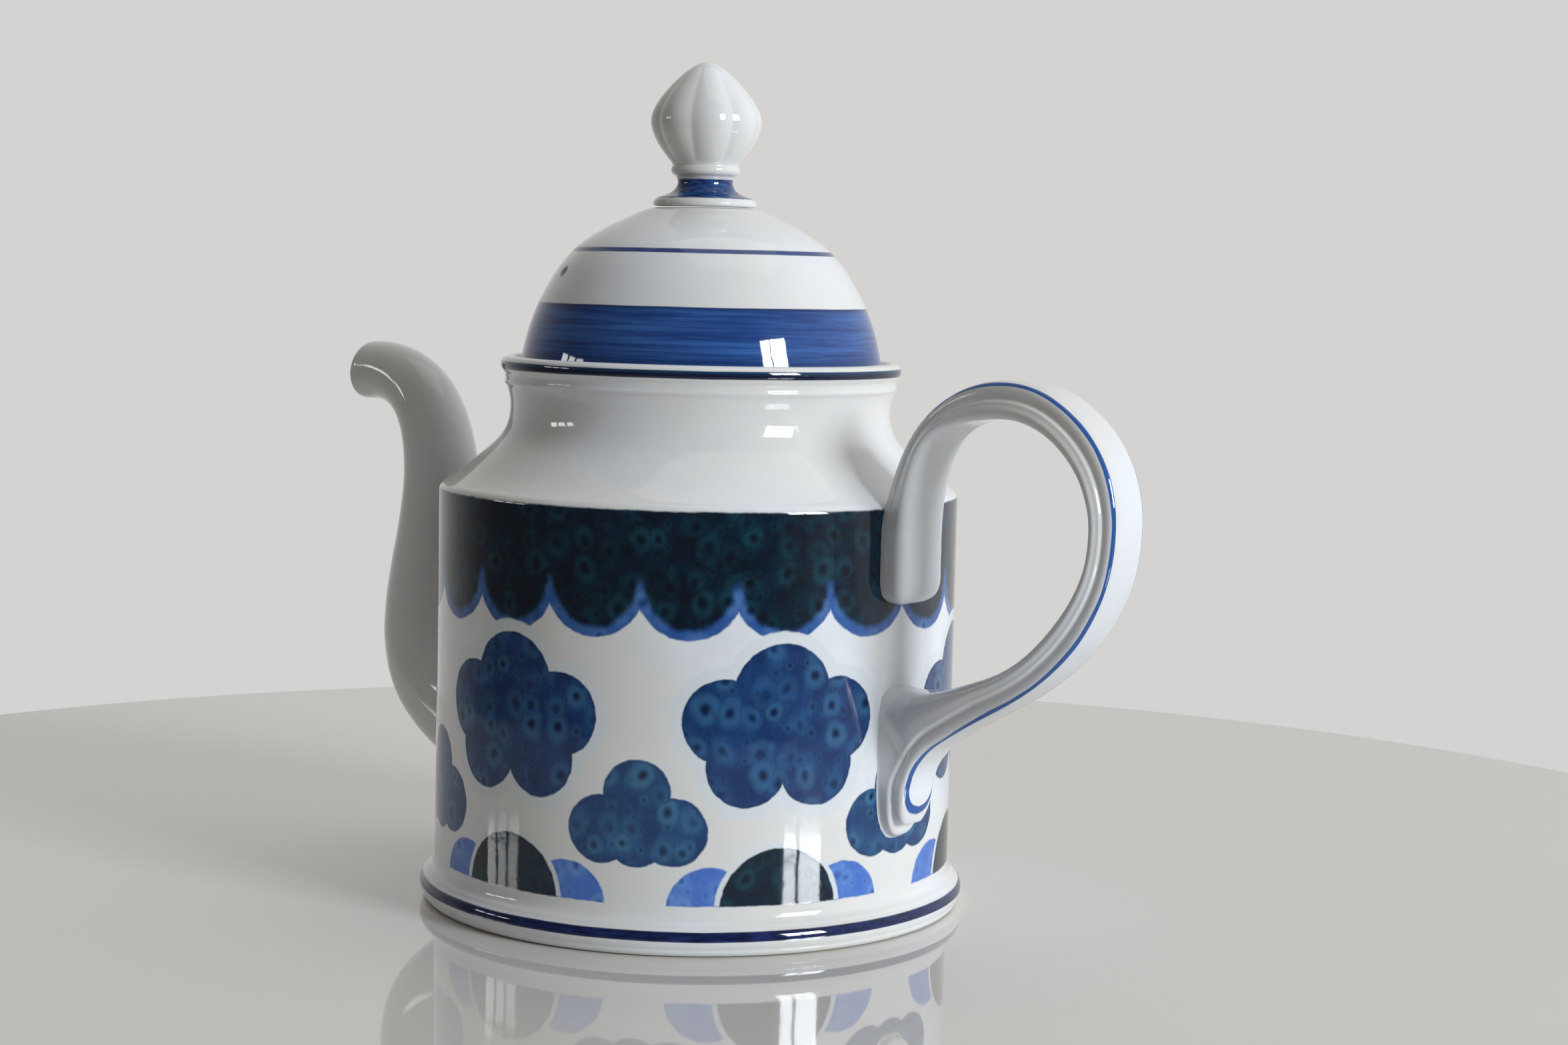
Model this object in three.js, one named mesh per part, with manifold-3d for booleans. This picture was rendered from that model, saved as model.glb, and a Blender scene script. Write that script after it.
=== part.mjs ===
// A porcelain lidded pot: cylindrical body on a low plinth with a sloping shoulder and a collared neck,
// a swan-neck spout, a moulded strap handle, and a domed lift-off lid with a ribbed knob.
// Units are millimetres, +Z is up, the origin is the middle of the foot on the table,
// the handle is on +X and the spout on -X.
import * as THREE from "three";
import { mergeVertices } from "three/addons/utils/BufferGeometryUtils.js";
import Module from "manifold-3d";

// ---- driving dimensions -------------------------------------------------------------------------
const WALL_R = 68; // outside radius of the cylindrical wall
const WALL_T = 4; // thickness of the cast wall
const SHOULDER_Z = 107.8; // top edge of the wall
const RIM_Z = 142; // top of the neck's rim
const SEAT_Z = 138.2; // ledge that the lid rests on
const NECK_BORE_R = 44.6; // clear radius inside the neck
const FLOOR_Z = 7.4; // inside floor at the middle
const FOOT_IN_R = 64.4; // foot ring, inner and outer radius
const FOOT_OUT_R = 69.9;
const FOOT_RECESS = 1.6; // depth of the recess inside the foot ring
const GAP = 0.3; // glaze-to-glaze gap where luted or resting pieces meet
const LID_R = 47.4; // lid's outside radius at the seat
const LID_TOP_Z = 181.2; // flat that the knob stands on
const FLANGE_R = 43.2; // locating flange under the lid
const FLANGE_Z = 127.6; // its lower edge
const VENT_R = 1.6; // steam vent in the lid
const VENT_AZ = -116.5; // its direction in degrees
const KNOB_Z = LID_TOP_Z + GAP;
const KNOB_LOBES = 8;
const KNOB_TURN = 25.5; // direction of one groove between the lobes, in degrees
const HANDLE_W = 6.2; // half width of the handle's outer band
const HANDLE_WI = 8.8; // half width of the handle's inner side
const SPOUT_WALL = 2.7; // wall thickness of the spout
const STRAIN_R = 2.3; // radius of each strainer hole
const STRAIN_Z = 38; // height of the middle strainer hole
const STRAIN_PCR = 9; // radius of the ring of strainer holes
const SEG = 48; // facets round the body and the lid

const wasm = await Module();
wasm.setup();

// ---- helpers ------------------------------------------------------------------------------------
function toManifold(geometry) {
  const g = geometry.clone();
  g.deleteAttribute("normal");
  g.deleteAttribute("uv");
  const m = mergeVertices(g, 1e-4);
  return new wasm.Manifold(
    new wasm.Mesh({
      numProp: 3,
      vertProperties: new Float32Array(m.attributes.position.array),
      triVerts: new Uint32Array(m.index.array),
    }),
  );
}
function toGeometry(solid) {
  const m = solid.getMesh();
  const v = new Float32Array(m.numVert * 3);
  for (let i = 0; i < m.numVert; i++)
    v.set(m.vertProperties.subarray(i * m.numProp, i * m.numProp + 3), i * 3);
  const g = new THREE.BufferGeometry();
  g.setAttribute("position", new THREE.BufferAttribute(v, 3));
  g.setIndex(new THREE.BufferAttribute(new Uint32Array(m.triVerts), 1));
  g.computeVertexNormals();
  return g;
}
// A profile of [radius, height] turned about Z. It starts and ends on the axis.
function turned(profile, segments) {
  const g = new THREE.LatheGeometry(
    profile.map(([r, z]) => new THREE.Vector2(r, z)),
    segments,
  );
  g.rotateX(Math.PI / 2); // the lathe's Y axis becomes Z
  return g;
}
// Rings of equal point count joined by a skin and closed by a fan at each end, or joined end to start.
function skinned(rings, joined = false) {
  const n = rings[0].length;
  const pos = [];
  rings.forEach((r) => r.forEach((p) => pos.push(p.x, p.y, p.z)));
  const idx = [];
  const last = joined ? rings.length : rings.length - 1;
  for (let i = 0; i < last; i++) {
    const a0 = i * n;
    const b0 = ((i + 1) % rings.length) * n;
    for (let k = 0; k < n; k++) {
      const k1 = (k + 1) % n;
      idx.push(a0 + k, a0 + k1, b0 + k1, a0 + k, b0 + k1, b0 + k);
    }
  }
  if (!joined) {
    [0, rings.length - 1].forEach((i, end) => {
      const c = new THREE.Vector3();
      rings[i].forEach((p) => c.add(p));
      c.multiplyScalar(1 / n);
      const ci = pos.length / 3;
      pos.push(c.x, c.y, c.z);
      for (let k = 0; k < n; k++) {
        const a = i * n + k;
        const b = i * n + ((k + 1) % n);
        if (end) idx.push(ci, a, b);
        else idx.push(ci, b, a);
      }
    });
  }
  const g = new THREE.BufferGeometry();
  g.setAttribute("position", new THREE.Float32BufferAttribute(pos, 3));
  g.setIndex(idx);
  return g;
}
function facingOut(geometry) {
  let m = toManifold(geometry);
  if (m.volume() < 0) {
    const g = geometry.clone();
    const ix = g.index.array;
    for (let i = 0; i < ix.length; i += 3)
      [ix[i + 1], ix[i + 2]] = [ix[i + 2], ix[i + 1]];
    m = toManifold(g);
  }
  return m;
}
const glazed = (color) =>
  new THREE.MeshStandardMaterial({ color, roughness: 0.12, metalness: 0 });
const group = new THREE.Group();
function add(name, solid, color) {
  const mesh = new THREE.Mesh(toGeometry(solid), glazed(color));
  mesh.name = name;
  group.add(mesh);
}

// ---- body ---------------------------------------------------------------------------------------
const IN_R = WALL_R - WALL_T;
const bodyProfile = [
  [0, FOOT_RECESS],
  [FOOT_IN_R - 2, FOOT_RECESS],
  [FOOT_IN_R, 0],
  [FOOT_OUT_R, 0],
  [71.0, 0.9],
  [71.6, 2.4],
  [71.8, 4.2],
  [71.5, 5.7],
  [70.2, 7.1],
  [68.9, 8.3],
  [68.2, 9.9],
  [WALL_R, 11.6],
  [WALL_R, SHOULDER_Z - 1],
  [67.8, SHOULDER_Z + 0.4],
  [67.0, 109.1],
  [65.1, 110.2],
  [62.6, 111.9],
  [60, 114],
  [57.6, 116],
  [55.6, 117.8],
  [53.5, 119.7],
  [52.1, 121.4],
  [50.9, 123.3],
  [50.1, 125.7],
  [49.8, 128.4],
  [49.9, 130.8],
  [50.5, 133],
  [51.2, 134.6],
  [51.2, 136.8],
  [52.1, 138.4],
  [52.3, 139.6],
  [51.8, 141.3],
  [50.6, RIM_Z],
  [49.4, 141.6],
  [48.8, 140.2],
  [48.7, SEAT_Z],
  [NECK_BORE_R + 0.4, SEAT_Z - 0.2],
  [NECK_BORE_R, SEAT_Z - 1.6],
  [44.9, 130],
  [45.8, 124.5],
  [48.8, 119.2],
  [53.6, 114.9],
  [59.4, 110],
  [62.9, 105.5],
  [IN_R, 101],
  [IN_R, 20],
  [62.4, 13],
  [58, 9.6],
  [50, 8.1],
  [0, FLOOR_Z],
];
let body = facingOut(turned(bodyProfile, SEG));
// Strainer: seven holes pierced through the wall behind the root of the spout.
const holes = [[0, STRAIN_Z]];
for (let i = 0; i < 6; i++) {
  const a = (i * Math.PI) / 3 + Math.PI / 6;
  holes.push([STRAIN_PCR * Math.cos(a), STRAIN_Z + STRAIN_PCR * Math.sin(a)]);
}
for (const [y, z] of holes) {
  const drill = new THREE.CylinderGeometry(STRAIN_R, STRAIN_R, 20, 10);
  drill.rotateZ(Math.PI / 2);
  drill.translate(-66, y, z);
  body = body.subtract(toManifold(drill));
}
add("body", body, 0xdfe3e8);

// ---- spout --------------------------------------------------------------------------------------
// Stations along the spout's middle line: [x, z, half width across, half height in the spout's plane].
const spoutLine = [
  [-56, 33.5, 18.6, 22.0],
  [-66, 36.0, 18.3, 20.1],
  [-76, 39.2, 17.7, 18.2],
  [-86.6, 43.8, 17.2, 17.6],
  [-94.2, 50.2, 16.7, 17.2],
  [-98.2, 58.4, 15.9, 16.4],
  [-99.6, 67.6, 14.8, 15.1],
  [-99.6, 77.4, 13.5, 13.8],
  [-98.9, 87.2, 12.4, 12.5],
  [-98.3, 96.8, 11.5, 11.6],
  [-98.5, 105.8, 10.8, 10.8],
  [-99.8, 113.8, 10.3, 10.3],
  [-102.5, 121.2, 9.8, 9.8],
  [-107.0, 127.4, 9.3, 9.3],
  [-113.2, 131.6, 8.8, 8.8],
  [-119.8, 133.6, 8.5, 8.5],
  [-125.0, 134.0, 8.4, 8.4],
  [-128.2, 133.9, 8.4, 8.4],
];
const MOUTH_SLANT = 1.5; // how far the lower lip reaches beyond the middle of the mouth
const SPOUT_SEG = 22;
function spoutRing(i, shrink) {
  const [x, z, a, b] = spoutLine[i];
  const p = spoutLine[Math.max(0, i - 1)];
  const q = spoutLine[Math.min(spoutLine.length - 1, i + 1)];
  const dir = new THREE.Vector2(q[0] - p[0], q[1] - p[1]).normalize();
  const ring = [];
  for (let k = 0; k < SPOUT_SEG; k++) {
    const t = (2 * Math.PI * k) / SPOUT_SEG;
    const u = (b - shrink) * Math.cos(t); // in the plane, along the normal
    const w = (a - shrink) * Math.sin(t); // across
    const slant = i === spoutLine.length - 1 ? (MOUTH_SLANT * u) / b : 0;
    ring.push(new THREE.Vector3(x - dir.y * u - slant, w, z + dir.x * u));
  }
  return ring;
}
const lastStation = spoutLine.length - 1;
const spoutRings = [];
for (let i = 0; i <= lastStation; i++) spoutRings.push(spoutRing(i, 0));
// rounded lip at the mouth
const lip = spoutRing(lastStation, SPOUT_WALL * 0.4);
lip.forEach((v) => (v.x -= 0.9));
spoutRings.push(lip);
for (let i = lastStation; i >= 0; i--) {
  const nearRoot = Math.max(0, 1 - i / 5);
  spoutRings.push(spoutRing(i, SPOUT_WALL + nearRoot * 0.9));
}
let spout = facingOut(skinned(spoutRings, true));
// The wall of the body, a little oversize, trims what is luted to it.
const wallCutter = toManifold(
  turned(
    [
      [0, -5],
      [WALL_R + GAP + 0.05, -5],
      [WALL_R + GAP + 0.05, SHOULDER_Z + 1],
      [0, SHOULDER_Z + 1],
    ],
    SEG,
  ),
);
spout = spout.subtract(wallCutter);
add("spout", spout, 0xd9d9d6);

// ---- handle -------------------------------------------------------------------------------------
// Stations from the upper foot of the strap, over the top and down to the lower foot:
// [outer x, outer z, inner x, inner z, width scale, outer face at the wall 0..1, inner face at the wall 0..1].
const handleStations = [
  [66, 84.8, 71.8, 84.6, 0.62, 1, 0.2],
  [66, 86.0, 73.4, 85.8, 0.87, 1, 0.2],
  [66, 88.4, 74.2, 88.2, 0.98, 1, 0.2],
  [66, 95.0, 74.3, 95.0, 1, 1, 0.2],
  [66.4, 102.4, 74.3, 102.0, 1, 1, 0.1],
  [67.6, 109.6, 74.6, 108.4, 1, 0.6, 0],
  [68.4, 114.6, 75.2, 113.2, 1, 0.1, 0],
  [70.0, 119.0, 76.3, 117.2, 1, 0, 0],
  [72.5, 124.1, 77.8, 121.2, 1, 0, 0],
  [76.0, 129.1, 80.2, 125.0, 1, 0, 0],
  [81.0, 133.8, 84.0, 128.0, 1, 0, 0],
  [87.2, 137.6, 89.0, 130.0, 1, 0, 0],
  [94.0, 139.9, 94.8, 131.1, 1, 0, 0],
  [100.5, 140.6, 100.4, 131.6, 1, 0, 0],
  [107.0, 140.1, 106.0, 131.2, 1, 0, 0],
  [113.2, 138.3, 111.2, 129.6, 1, 0, 0],
  [119.3, 134.9, 116.0, 126.9, 1, 0, 0],
  [124.7, 130.5, 120.2, 123.2, 1, 0, 0],
  [128.9, 125.0, 123.6, 118.8, 1, 0, 0],
  [131.9, 118.7, 125.8, 113.9, 1, 0, 0],
  [133.4, 112.0, 126.9, 109.3, 1, 0, 0],
  [133.6, 106.0, 127.0, 104.8, 1, 0, 0],
  [133.0, 99.8, 126.4, 99.9, 1, 0, 0],
  [131.3, 93.0, 124.8, 94.9, 1, 0, 0],
  [128.5, 86.7, 122.0, 89.6, 1, 0, 0],
  [124.7, 80.4, 118.0, 84.1, 1, 0, 0],
  [119.6, 74.6, 113.5, 79.1, 1, 0, 0],
  [113.7, 69.3, 108.4, 74.6, 1, 0, 0],
  [107.1, 64.6, 102.8, 71.1, 1, 0, 0],
  [100.0, 60.4, 97.0, 68.6, 1, 0, 0],
  [93.0, 56.5, 91.0, 66.4, 1, 0, 0],
  [86.8, 52.8, 85.0, 64.4, 1, 0, 0],
  [81.6, 49.3, 78.8, 62.9, 1, 0, 0],
  [78.1, 45.6, 72.8, 62.4, 1, 0, 0.3],
  [76.3, 42.0, 66, 62.4, 1, 0, 1],
  [75.3, 38.4, 66, 52.0, 1, 0, 1],
  [74.7, 34.8, 66, 42.0, 1, 0, 1],
  [73.9, 31.2, 66, 35.2, 0.96, 0, 1],
  [72.3, 28.0, 66, 30.2, 0.86, 0, 1],
  [70.0, 25.2, 66, 26.6, 0.66, 0, 1],
];
// Half section of the strap: [half width, depth from the outer band 0 to the inner side 1].
function halfSection(outerAtWall, innerAtWall) {
  const o = outerAtWall,
    n = innerAtWall;
  const mix = (a, b, t) => a + (b - a) * t;
  return [
    [mix(HANDLE_W, 8.2, o), 0],
    [mix(7.0, 8.3, Math.max(o, 0)), 0.12],
    [mix(6.9, 8.4, o), 0.32],
    [mix(7.9, 8.6, o), 0.46],
    [mix(8.0, 8.7, o), 0.6],
    [mix(HANDLE_WI, 8.4, n), 0.78],
    [mix(8.2, 8.3, n), 0.93],
    [mix(5.0, 6.0, n), 1.01],
  ];
}
const handleRings = handleStations.map(([ox, oz, ix, iz, k, o, n]) => {
  const half = halfSection(o, n);
  const at = (w, e) =>
    new THREE.Vector3(ox + (ix - ox) * e, w * k, oz + (iz - oz) * e);
  const ring = half.map(([w, e]) => at(w, e));
  for (let i = half.length - 1; i >= 0; i--) ring.push(at(-half[i][0], half[i][1]));
  return ring;
});
let handle = facingOut(skinned(handleRings));
handle = handle.subtract(wallCutter);
add("handle", handle, 0xe4e7ea);

// ---- lid ----------------------------------------------------------------------------------------
const LID_Z = SEAT_Z + GAP;
const lidProfile = [
  [0, LID_TOP_Z],
  [13.6, LID_TOP_Z],
  [17.7, 179.6],
  [25.0, 176.1],
  [31.1, 172.3],
  [34.9, 168.7],
  [37.7, 165.2],
  [39.9, 161.7],
  [42.0, 157.9],
  [43.8, 153.7],
  [45.2, 149.6],
  [46.3, 145.4],
  [47.1, 141.6],
  [LID_R, 139.7],
  [LID_R - 0.3, LID_Z],
  [FLANGE_R, LID_Z],
  [FLANGE_R - 0.3, FLANGE_Z + 0.9],
  [FLANGE_R - 1, FLANGE_Z],
  [40.4, FLANGE_Z],
  [39.7, FLANGE_Z + 0.9],
  [39.9, 141],
  [40.3, 146],
  [39.8, 151],
  [38.3, 156.5],
  [35.6, 161.8],
  [31.8, 166.6],
  [26.6, 170.8],
  [19, 174.4],
  [9, 176.6],
  [0, 177.2],
];
let lid = facingOut(turned(lidProfile.slice().reverse(), SEG));
const ventDrill = new THREE.CylinderGeometry(VENT_R, VENT_R, 12, 10);
ventDrill.rotateZ(-Math.PI / 2 + 0.85); // along the wall's normal, outwards and up
ventDrill.translate(36.6, 0, 163.6);
ventDrill.rotateZ(THREE.MathUtils.degToRad(VENT_AZ));
lid = lid.subtract(toManifold(ventDrill));
add("lid", lid, 0x3d6296);

// ---- knob ---------------------------------------------------------------------------------------
// [radius, height, rib depth]
const knobProfile = [
  [13.5, KNOB_Z, 0],
  [13.5, 182.8, 0],
  [12.2, 184.0, 0],
  [9.6, 184.9, 0],
  [7.6, 186.4, 0],
  [7.2, 188.4, 0],
  [8.4, 190.0, 0],
  [8.9, 191.2, 0],
  [8.7, 192.4, 0],
  [9.9, 194.2, 0.03],
  [12.0, 197.0, 0.06],
  [13.6, 200.0, 0.08],
  [14.4, 203.2, 0.09],
  [13.8, 206.2, 0.1],
  [12.2, 209.2, 0.11],
  [10.0, 212.0, 0.12],
  [7.4, 214.8, 0.12],
  [4.6, 217.2, 0.09],
  [2.2, 218.8, 0.03],
];
const KNOB_SEG = KNOB_LOBES * 5;
const knobRings = knobProfile.map(([r, z, d]) =>
  Array.from({ length: KNOB_SEG }, (_, k) => {
    const t = (2 * Math.PI * k) / KNOB_SEG;
    const rib = 1 - d * (1 - Math.abs(Math.sin((KNOB_LOBES * t) / 2)));
    const az = t + THREE.MathUtils.degToRad(KNOB_TURN);
    return new THREE.Vector3(r * rib * Math.cos(az), r * rib * Math.sin(az), z);
  }),
);
add("knob", facingOut(skinned(knobRings)), 0xe6e9ee);

export default group;
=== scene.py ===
"""Looks for a lidded porcelain pot: fine glazed meshes, under-glaze painting made of nodes, a plain floor and soft light.
Lengths in the tables are millimetres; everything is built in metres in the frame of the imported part."""

import math

import bpy
import numpy as np
from mathutils import Matrix, Vector


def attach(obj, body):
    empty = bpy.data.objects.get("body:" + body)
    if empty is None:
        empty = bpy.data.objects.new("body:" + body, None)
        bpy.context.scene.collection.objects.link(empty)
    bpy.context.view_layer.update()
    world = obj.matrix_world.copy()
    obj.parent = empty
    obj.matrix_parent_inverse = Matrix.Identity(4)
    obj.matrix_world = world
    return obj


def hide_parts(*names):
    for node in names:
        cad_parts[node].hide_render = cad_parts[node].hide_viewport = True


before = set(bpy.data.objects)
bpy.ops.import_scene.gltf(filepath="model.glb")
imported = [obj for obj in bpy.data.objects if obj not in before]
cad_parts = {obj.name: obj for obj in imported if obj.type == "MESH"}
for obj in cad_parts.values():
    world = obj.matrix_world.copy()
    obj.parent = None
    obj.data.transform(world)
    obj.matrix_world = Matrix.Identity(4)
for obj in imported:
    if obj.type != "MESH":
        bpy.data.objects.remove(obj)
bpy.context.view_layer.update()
MM = 0.001
scene = bpy.context.scene

# =================================================================================================
# Camera
# =================================================================================================
CAM_AZ = math.radians(48.5)  # the camera stands this far round from the handle, towards -Y
CAM_BACK, CAM_UP = 711.0227, 165.7368
CAM_YAW, CAM_PITCH, CAM_ROLL = math.radians(1.820), math.radians(5.334), math.radians(1.335)
CAM_F = 4061.0 / 2352.0  # focal length over the frame's width


def to_row(v):
    """A vector of the camera's own upright frame (x right, y away, z up) in the row frame."""
    h = Vector((math.sin(CAM_AZ), -math.cos(CAM_AZ), 0))
    t = Vector((math.cos(CAM_AZ), math.sin(CAM_AZ), 0))
    return Vector((v.dot(h), v.dot(t), v.z))


def make_camera():
    fwd = Vector((math.sin(CAM_YAW), math.cos(CAM_YAW), 0))
    right = Vector((math.cos(CAM_YAW), -math.sin(CAM_YAW), 0))
    up = Vector((0, 0, 1))
    f2 = fwd * math.cos(CAM_PITCH) - up * math.sin(CAM_PITCH)
    u2 = up * math.cos(CAM_PITCH) + fwd * math.sin(CAM_PITCH)
    r3 = right * math.cos(CAM_ROLL) + u2 * math.sin(CAM_ROLL)
    u3 = u2 * math.cos(CAM_ROLL) - right * math.sin(CAM_ROLL)
    data = bpy.data.cameras.new("camera")
    data.sensor_fit = "HORIZONTAL"
    data.sensor_width = 36.0
    data.lens = 36.0 * CAM_F
    data.clip_start, data.clip_end = 0.01, 50
    cam = bpy.data.objects.new("camera", data)
    scene.collection.objects.link(cam)
    r, u, b = to_row(r3), to_row(u3), -to_row(f2)
    p = to_row(Vector((0, -CAM_BACK, CAM_UP))) * MM
    cam.matrix_world = Matrix(
        (
            (r.x, u.x, b.x, p.x),
            (r.y, u.y, b.y, p.y),
            (r.z, u.z, b.z, p.z),
            (0, 0, 0, 1),
        )
    )
    scene.camera = cam


make_camera()

# =================================================================================================
# Mesh helpers
# =================================================================================================


def smooth_curve(points, per, corners=(), closed=False):
    """Centripetal Catmull-Rom through points (any number of columns), about per steps a span.
    Points whose index is in corners keep a hard corner: the curve is split there."""
    p = np.asarray(points, float)
    if not closed and corners:
        cuts = [0, *sorted(corners), len(p) - 1]
        parts = []
        for a, b in zip(cuts[:-1], cuts[1:]):
            if b > a:
                piece = smooth_curve(p[a : b + 1], per)
                parts.append(piece if not parts else piece[1:])
        return np.vstack(parts)
    n = len(p)
    if n < 3:
        t = np.linspace(0, 1, per + 1)[:, None]
        return p[0] * (1 - t) + p[-1] * t
    if closed:
        q = np.vstack([p[-1], p, p[0], p[1]])
        spans = n
    else:
        q = np.vstack([2 * p[0] - p[1], p, 2 * p[-1] - p[-2]])
        spans = n - 1
    out = []
    for i in range(spans):
        a, b, c, d = q[i], q[i + 1], q[i + 2], q[i + 3]
        t0 = 0.0
        t1 = t0 + max(np.linalg.norm(b - a), 1e-6) ** 0.5
        t2 = t1 + max(np.linalg.norm(c - b), 1e-6) ** 0.5
        t3 = t2 + max(np.linalg.norm(d - c), 1e-6) ** 0.5
        for t in np.linspace(t1, t2, per, endpoint=False):
            a1 = (t1 - t) / (t1 - t0) * a + (t - t0) / (t1 - t0) * b
            a2 = (t2 - t) / (t2 - t1) * b + (t - t1) / (t2 - t1) * c
            a3 = (t3 - t) / (t3 - t2) * c + (t - t2) / (t3 - t2) * d
            b1 = (t2 - t) / (t2 - t0) * a1 + (t - t0) / (t2 - t0) * a2
            b2 = (t3 - t) / (t3 - t1) * a2 + (t - t1) / (t3 - t1) * a3
            out.append((t2 - t) / (t2 - t1) * b1 + (t - t1) / (t2 - t1) * b2)
    if not closed:
        out.append(p[-1])
    return np.array(out)


def make_object(name, verts, faces, material, sharp=None):
    mesh = bpy.data.meshes.new(name)
    mesh.from_pydata((np.asarray(verts, float) * MM).tolist(), [], faces)
    mesh.validate()
    mesh.update()
    mesh.shade_smooth()
    if sharp is not None:
        mesh.set_sharp_from_angle(angle=math.radians(sharp))
    ob = bpy.data.objects.new(name, mesh)
    scene.collection.objects.link(ob)
    if material is not None:
        mesh.materials.append(material)
    return ob


def lathe(profile, seg, turn=0.0):
    """Vertices and faces of a profile of (radius, height) rows turned about Z. Its ends are on the axis."""
    prof = np.asarray(profile, float)
    ang = np.arange(seg) * 2 * math.pi / seg + turn
    verts, rows = [], []
    for r, z in prof:
        if abs(r) < 1e-6:
            rows.append([len(verts)])
            verts.append((0, 0, z))
        else:
            rows.append(list(range(len(verts), len(verts) + seg)))
            verts.extend(zip(r * np.cos(ang), r * np.sin(ang), np.full(seg, z)))
    faces = []
    for a, b in zip(rows[:-1], rows[1:]):
        for k in range(seg):
            k1 = (k + 1) % seg
            if len(a) == 1 and len(b) == 1:
                continue
            if len(a) == 1:
                faces.append((a[0], b[k1], b[k]))
            elif len(b) == 1:
                faces.append((a[k], a[k1], b[0]))
            else:
                faces.append((a[k], a[k1], b[k1], b[k]))
    return np.array(verts), faces


def skin(rings, closed_ends=True):
    """Faces joining rings of equal point count, with a fan at each end."""
    n = rings.shape[1]
    m = rings.shape[0]
    verts = rings.reshape(-1, 3)
    faces = []
    for i in range(m - 1):
        for k in range(n):
            k1 = (k + 1) % n
            faces.append((i * n + k, i * n + k1, (i + 1) * n + k1, (i + 1) * n + k))
    if closed_ends:
        verts = np.vstack([verts, rings[0].mean(0), rings[-1].mean(0)])
        a, b = m * n, m * n + 1
        for k in range(n):
            k1 = (k + 1) % n
            faces.append((a, k1, k))
            faces.append((b, (m - 1) * n + k, (m - 1) * n + k1))
    return verts, faces


def face_out(ob):
    """Turns every face outwards."""
    import bmesh

    bm = bmesh.new()
    bm.from_mesh(ob.data)
    bmesh.ops.recalc_face_normals(bm, faces=bm.faces)
    if bm.calc_volume(signed=True) < 0:
        bmesh.ops.reverse_faces(bm, faces=bm.faces)
    bm.to_mesh(ob.data)
    bm.free()
    ob.data.update()


def weld(ob):
    """Merges points that lie on each other."""
    import bmesh

    bm = bmesh.new()
    bm.from_mesh(ob.data)
    bmesh.ops.remove_doubles(bm, verts=bm.verts, dist=2e-7)
    bm.to_mesh(ob.data)
    bm.free()
    ob.data.update()


def cut(ob, cutters, sharp=35):
    """Cuts the cutters' shapes out of ob and bakes the result into its mesh."""
    for c in cutters:
        m = ob.modifiers.new("cut", "BOOLEAN")
        m.operation, m.solver, m.object = "DIFFERENCE", "EXACT", c
    bpy.context.view_layer.update()
    dg = bpy.context.evaluated_depsgraph_get()
    new = bpy.data.meshes.new_from_object(ob.evaluated_get(dg), depsgraph=dg)
    ob.modifiers.clear()
    old = ob.data
    ob.data = new
    bpy.data.meshes.remove(old)
    new.shade_smooth()
    new.set_sharp_from_angle(angle=math.radians(sharp))
    for c in cutters:
        me = c.data
        bpy.data.objects.remove(c)
        bpy.data.meshes.remove(me)


def vertex_arrays(ob):
    me = ob.data
    co = np.zeros(len(me.vertices) * 3)
    no = np.zeros(len(me.vertices) * 3)
    me.vertices.foreach_get("co", co)
    me.vertex_normals.foreach_get("vector", no)
    return co.reshape(-1, 3) / MM, no.reshape(-1, 3)


def set_vertices(ob, co):
    ob.data.vertices.foreach_set("co", (co * MM).astype(np.float32).ravel())
    ob.data.update()


def smoothstep(a, b, x):
    t = np.clip((x - a) / (b - a), 0, 1)
    return t * t * (3 - 2 * t)


def luting_fillet(ob, wall_r, size, keep=None):
    """Spreads the foot of ob along the wall of radius wall_r, as slip does where a piece is luted on."""
    co, no = vertex_arrays(ob)
    r = np.hypot(co[:, 0], co[:, 1])
    rad = np.stack([co[:, 0] / r, co[:, 1] / r, np.zeros(len(r))], 1)
    h = r - wall_r
    t = np.clip(size - h, 0, size)
    spread = size - np.sqrt(np.maximum(size * size - t * t, 0))
    spread = np.where(h > size, 0, spread)
    along = no - (no * rad).sum(1)[:, None] * rad
    length = np.linalg.norm(along, axis=1)
    along = along / np.maximum(length, 1e-6)[:, None]
    w = smoothstep(0.25, 0.7, length)
    if keep is not None:
        w = w * keep(co)
    co = co + along * (spread * w)[:, None]
    set_vertices(ob, co)


# =================================================================================================
# Node helpers
# =================================================================================================


def lin(c):
    """An sRGB colour of 0..255 as linear RGBA."""
    out = []
    for x in c:
        x = x / 255.0
        out.append(x / 12.92 if x <= 0.04045 else ((x + 0.055) / 1.055) ** 2.4)
    return (*out, 1.0)


class Val:
    """A number in a node tree, with arithmetic."""

    def __init__(self, g, socket):
        self.g, self.s = g, socket

    def __add__(self, o):
        return self.g.math("ADD", self, o)

    __radd__ = __add__

    def __sub__(self, o):
        return self.g.math("SUBTRACT", self, o)

    def __rsub__(self, o):
        return self.g.math("SUBTRACT", o, self)

    def __mul__(self, o):
        return self.g.math("MULTIPLY", self, o)

    __rmul__ = __mul__

    def __truediv__(self, o):
        return self.g.math("DIVIDE", self, o)

    def __rtruediv__(self, o):
        return self.g.math("DIVIDE", o, self)

    def __neg__(self):
        return self.g.math("MULTIPLY", self, -1.0)


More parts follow.
